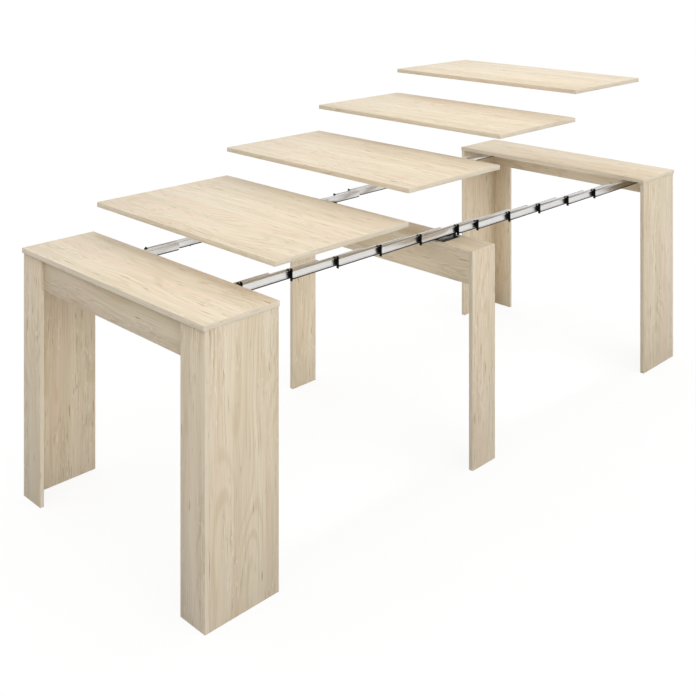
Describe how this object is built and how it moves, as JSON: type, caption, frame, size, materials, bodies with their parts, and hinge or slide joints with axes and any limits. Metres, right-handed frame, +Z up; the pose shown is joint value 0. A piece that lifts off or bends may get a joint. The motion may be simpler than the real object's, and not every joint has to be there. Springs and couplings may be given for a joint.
{
  "type": "extending dining table",
  "caption": "Narrow console table that pulls out on telescopic aluminium rails over a middle frame, with loose leaves that drop in between its two end tops.",
  "frame": {"origin": "on the floor, at the middle of the open table", "axes": "+Z up, +Y along the table from the near end to the far end, +X across it to the right"},
  "size_m": [0.9, 2.378, 1.1485],
  "materials": {
    "oak_melamine": "pale oak grain, matte",
    "rail_aluminium": "bright anodised",
    "black_nylon": "satin black",
    "zinc_steel": "zinc plated",
    "black_steel": "semi-gloss black"
  },
  "bodies": {
    "near_end": {"near_top": "oak_melamine", "near_left_side": "oak_melamine", "near_right_side": "oak_melamine", "near_left_strip": "oak_melamine", "near_right_strip": "oak_melamine", "near_apron": "oak_melamine", "left_rail_01": "rail_aluminium", "right_rail_01": "rail_aluminium", "rail_caps_01": "black_nylon", "near_rail_fixings": "zinc_steel"},
    "middle_frame": {"middle_board": "oak_melamine", "middle_left_side": "oak_melamine", "middle_right_side": "oak_melamine", "middle_apron": "oak_melamine", "left_rail_06": "rail_aluminium", "right_rail_06": "rail_aluminium", "rail_caps_06": "black_nylon", "middle_brackets": "black_steel", "middle_bracket_screws": "black_steel"},
    "far_end": {"far_top": "oak_melamine", "far_left_side": "oak_melamine", "far_right_side": "oak_melamine", "far_left_strip": "oak_melamine", "far_right_strip": "oak_melamine", "far_apron": "oak_melamine", "left_rail_12": "rail_aluminium", "right_rail_12": "rail_aluminium", "rail_caps_12": "black_nylon", "far_rail_fixings": "zinc_steel"},
    "rail_stage_02": {"left_rail_02": "rail_aluminium", "right_rail_02": "rail_aluminium", "rail_caps_02": "black_nylon"},
    "rail_stage_03": {"left_rail_03": "rail_aluminium", "right_rail_03": "rail_aluminium", "rail_caps_03": "black_nylon"},
    "rail_stage_04": {"left_rail_04": "rail_aluminium", "right_rail_04": "rail_aluminium", "rail_caps_04": "black_nylon"},
    "rail_stage_05": {"left_rail_05": "rail_aluminium", "right_rail_05": "rail_aluminium", "rail_caps_05": "black_nylon"},
    "rail_stage_07": {"left_rail_07": "rail_aluminium", "right_rail_07": "rail_aluminium", "rail_caps_07": "black_nylon"},
    "rail_stage_08": {"left_rail_08": "rail_aluminium", "right_rail_08": "rail_aluminium", "rail_caps_08": "black_nylon"},
    "rail_stage_09": {"left_rail_09": "rail_aluminium", "right_rail_09": "rail_aluminium", "rail_caps_09": "black_nylon"},
    "rail_stage_10": {"left_rail_10": "rail_aluminium", "right_rail_10": "rail_aluminium", "rail_caps_10": "black_nylon"},
    "rail_stage_11": {"left_rail_11": "rail_aluminium", "right_rail_11": "rail_aluminium", "rail_caps_11": "black_nylon"},
    "leaf_1": {"leaf_1": "oak_melamine"},
    "leaf_2": {"leaf_2": "oak_melamine"},
    "leaf_3": {"leaf_3": "oak_melamine"},
    "leaf_4": {"leaf_4": "oak_melamine"}
  },
  "joints": [
    {"name": "rail_stage_05_slide", "type": "slide", "parent": "middle_frame", "child": "rail_stage_05", "axis": [0, 1, 0], "range_m": [0, 0.17575]},
    {"name": "rail_stage_04_slide", "type": "slide", "parent": "rail_stage_05", "child": "rail_stage_04", "axis": [0, 1, 0], "range_m": [0, 0.17575]},
    {"name": "rail_stage_03_slide", "type": "slide", "parent": "rail_stage_04", "child": "rail_stage_03", "axis": [0, 1, 0], "range_m": [0, 0.17575]},
    {"name": "rail_stage_02_slide", "type": "slide", "parent": "rail_stage_03", "child": "rail_stage_02", "axis": [0, 1, 0], "range_m": [0, 0.17575]},
    {"name": "near_end_slide", "type": "slide", "parent": "rail_stage_02", "child": "near_end", "axis": [0, 1, 0], "range_m": [0, 0.2565]},
    {"name": "rail_stage_07_slide", "type": "slide", "parent": "middle_frame", "child": "rail_stage_07", "axis": [0, -1, 0], "range_m": [0, 0.17575]},
    {"name": "rail_stage_08_slide", "type": "slide", "parent": "rail_stage_07", "child": "rail_stage_08", "axis": [0, -1, 0], "range_m": [0, 0.08925]},
    {"name": "rail_stage_09_slide", "type": "slide", "parent": "rail_stage_08", "child": "rail_stage_09", "axis": [0, -1, 0], "range_m": [0, 0.1645]},
    {"name": "rail_stage_10_slide", "type": "slide", "parent": "rail_stage_09", "child": "rail_stage_10", "axis": [0, -1, 0], "range_m": [0, 0.1645]},
    {"name": "rail_stage_11_slide", "type": "slide", "parent": "rail_stage_10", "child": "rail_stage_11", "axis": [0, -1, 0], "range_m": [0, 0.1645]},
    {"name": "far_end_slide", "type": "slide", "parent": "rail_stage_11", "child": "far_end", "axis": [0, -1, 0], "range_m": [0, 0.1645]},
    {"name": "leaf_1_lift", "type": "slide", "parent": "middle_frame", "child": "leaf_1", "axis": [0, 0, 1], "range_m": [-0.097, 0]},
    {"name": "leaf_2_lift", "type": "slide", "parent": "middle_frame", "child": "leaf_2", "axis": [0, 0, 1], "range_m": [-0.196, 0]},
    {"name": "leaf_3_lift", "type": "slide", "parent": "middle_frame", "child": "leaf_3", "axis": [0, 0, 1], "range_m": [-0.295, 0]},
    {"name": "leaf_4_lift", "type": "slide", "parent": "middle_frame", "child": "leaf_4", "axis": [0, 0, 1], "range_m": [-0.394, 0]}
  ]
}
